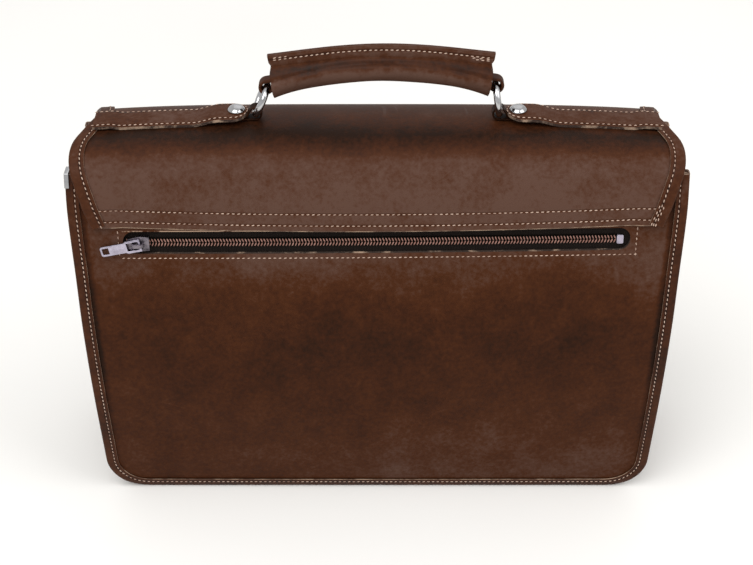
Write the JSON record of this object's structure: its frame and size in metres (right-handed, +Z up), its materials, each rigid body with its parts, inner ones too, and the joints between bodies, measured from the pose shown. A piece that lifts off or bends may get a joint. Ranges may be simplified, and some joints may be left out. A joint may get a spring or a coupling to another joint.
{
  "type": "leather document case",
  "caption": "Upright dark brown leather document case with a flap over the top, a carrying handle on rings and a zip pocket on its back.",
  "frame": {"origin": "middle of the case's footprint, on the surface it stands on", "axes": "+Z up, -Y out of the back with the zip pocket, +Y out of the front with the flap, +X along the width"},
  "size_m": [0.406, 0.1412, 0.3367],
  "materials": {
    "body_leather": "oiled pull-up leather, soft sheen",
    "edge_leather": "oiled leather strip with pale stitches",
    "handle_leather": "folded leather, worn soft",
    "bright_metal": "nickel plate, polished",
    "zip_metal": "nickel plate, scuffed",
    "zip_plastic": "dark coil",
    "zip_cloth": "woven tape"
  },
  "bodies": {
    "case": {"back_panel": "body_leather", "front_panel": "body_leather", "gusset": "body_leather", "back_binding": "edge_leather", "front_binding": "edge_leather", "flap": "body_leather", "flap_binding": "edge_leather", "top_strap_left": "edge_leather", "top_strap_right": "edge_leather", "ring_tab_left": "edge_leather", "ring_tab_right": "edge_leather", "rivet_left": "bright_metal", "rivet_right": "bright_metal", "ring_left": "bright_metal", "ring_right": "bright_metal", "handle_grip": "handle_leather", "handle_core": "handle_leather", "zip_tape": "zip_cloth", "zip_coil": "zip_plastic", "zip_end_stop": "zip_metal", "zip_slider": "zip_metal", "seam_clip": "bright_metal", "front_clasp": "bright_metal"},
    "zip_pull": {"zip_pull": "zip_metal"}
  },
  "joints": [
    {"name": "pull_hinge", "type": "hinge", "parent": "case", "child": "zip_pull", "pos_m": [-0.1561, -0.06164, 0.21878], "axis": [-0.2252, 0.1168, 0.9673], "range_deg": [0, 150]}
  ]
}
